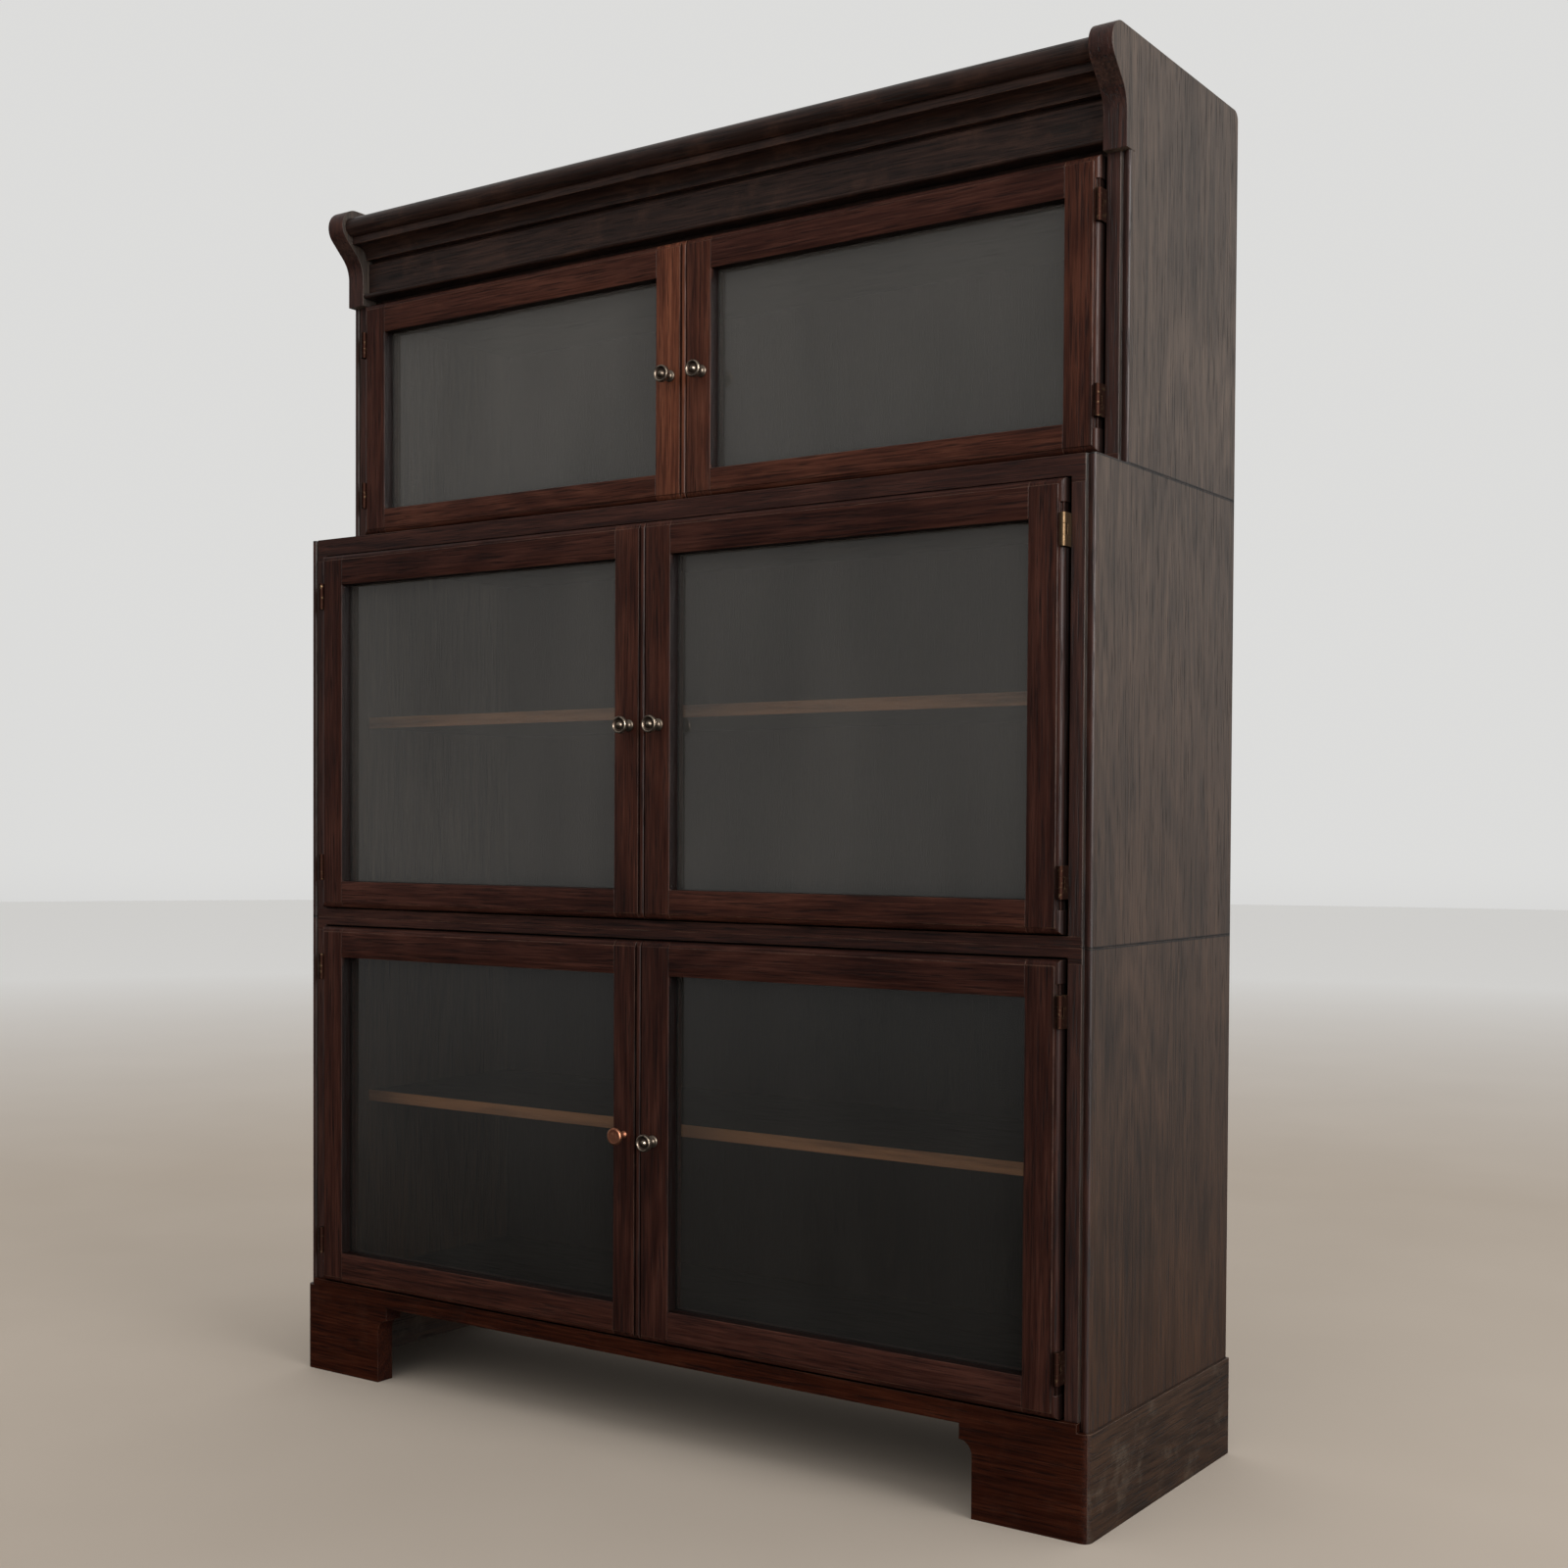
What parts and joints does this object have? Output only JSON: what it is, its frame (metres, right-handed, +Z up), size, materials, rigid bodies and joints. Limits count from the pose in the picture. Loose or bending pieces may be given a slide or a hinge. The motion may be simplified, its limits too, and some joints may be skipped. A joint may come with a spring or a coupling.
{
  "type": "sectional glazed bookcase",
  "caption": "Sectional bookcase of stacked dark oak units with paired glazed doors, a moulded cornice and a plinth with bracket feet.",
  "frame": {"origin": "on the floor, under the centre of the bookcase's bounding box", "axes": "+Z up, +X to the bookcase's right as seen from the front, +Y from the doors towards the back"},
  "size_m": [0.896, 0.309, 1.206],
  "materials": {
    "door_oak": "waxed dark stain, worn at the edges",
    "case_oak": "waxed dark stain",
    "side_oak": "dry dark stain with open grain",
    "plinth_oak": "scuffed dark stain",
    "cornice_oak": "dark stain, worn on the nosing",
    "inner_wood": "plain stained boards",
    "glass": "old clear sheet glass, slightly hazy",
    "knob_brass": "tarnished",
    "hinge_brass": "aged, partly bright"
  },
  "bodies": {
    "case": {"case_hinge_leaves": "hinge_brass", "cornice_cove": "cornice_oak", "frieze": "cornice_oak", "hinge_pins": "hinge_brass", "lower_back": "inner_wood", "lower_floor": "case_oak", "lower_shelf": "case_oak", "lower_side_left": "side_oak", "lower_side_right": "side_oak", "lower_top": "case_oak", "middle_back": "inner_wood", "middle_floor": "case_oak", "middle_shelf": "case_oak", "middle_side_left": "side_oak", "middle_side_right": "side_oak", "middle_top": "case_oak", "plinth_back": "inner_wood", "plinth_corner_blocks": "inner_wood", "plinth_front": "plinth_oak", "plinth_side_left": "plinth_oak", "plinth_side_right": "plinth_oak", "registration_dowels": "inner_wood", "upper_back": "inner_wood", "upper_ceiling": "case_oak", "upper_floor": "case_oak", "upper_side_left": "side_oak", "upper_side_right": "side_oak", "upper_top": "cornice_oak"},
    "lower_left_door": {"lower_left_door_frame": "door_oak", "lower_left_door_glass": "glass", "lower_left_door_glazing_beads": "door_oak", "lower_left_door_hinge_leaves": "hinge_brass", "lower_left_door_knob": "knob_brass"},
    "lower_right_door": {"lower_right_door_frame": "door_oak", "lower_right_door_glass": "glass", "lower_right_door_glazing_beads": "door_oak", "lower_right_door_hinge_leaves": "hinge_brass", "lower_right_door_knob": "knob_brass"},
    "middle_left_door": {"middle_left_door_frame": "door_oak", "middle_left_door_glass": "glass", "middle_left_door_glazing_beads": "door_oak", "middle_left_door_hinge_leaves": "hinge_brass", "middle_left_door_knob": "knob_brass"},
    "middle_right_door": {"middle_right_door_frame": "door_oak", "middle_right_door_glass": "glass", "middle_right_door_glazing_beads": "door_oak", "middle_right_door_hinge_leaves": "hinge_brass", "middle_right_door_knob": "knob_brass"},
    "upper_left_door": {"upper_left_door_frame": "door_oak", "upper_left_door_glass": "glass", "upper_left_door_glazing_beads": "door_oak", "upper_left_door_hinge_leaves": "hinge_brass", "upper_left_door_knob": "knob_brass"},
    "upper_right_door": {"upper_right_door_frame": "door_oak", "upper_right_door_glass": "glass", "upper_right_door_glazing_beads": "door_oak", "upper_right_door_hinge_leaves": "hinge_brass", "upper_right_door_knob": "knob_brass"}
  },
  "joints": [
    {"name": "lower_left_door_hinge", "type": "hinge", "parent": "case", "child": "lower_left_door", "pos_m": [-0.4212, -0.1377, 0.2783], "axis": [0, 0, -1], "range_deg": [0, 120]},
    {"name": "lower_right_door_hinge", "type": "hinge", "parent": "case", "child": "lower_right_door", "pos_m": [0.4212, -0.1377, 0.2783], "axis": [0, 0, 1], "range_deg": [0, 120]},
    {"name": "middle_left_door_hinge", "type": "hinge", "parent": "case", "child": "middle_left_door", "pos_m": [-0.4212, -0.1377, 0.6609], "axis": [0, 0, -1], "range_deg": [0, 120]},
    {"name": "middle_right_door_hinge", "type": "hinge", "parent": "case", "child": "middle_right_door", "pos_m": [0.4212, -0.1377, 0.6609], "axis": [0, 0, 1], "range_deg": [0, 120]},
    {"name": "upper_left_door_hinge", "type": "hinge", "parent": "case", "child": "upper_left_door", "pos_m": [-0.4212, -0.0787, 0.9896], "axis": [0, 0, -1], "range_deg": [0, 120]},
    {"name": "upper_right_door_hinge", "type": "hinge", "parent": "case", "child": "upper_right_door", "pos_m": [0.4212, -0.0787, 0.9896], "axis": [0, 0, 1], "range_deg": [0, 120]}
  ]
}
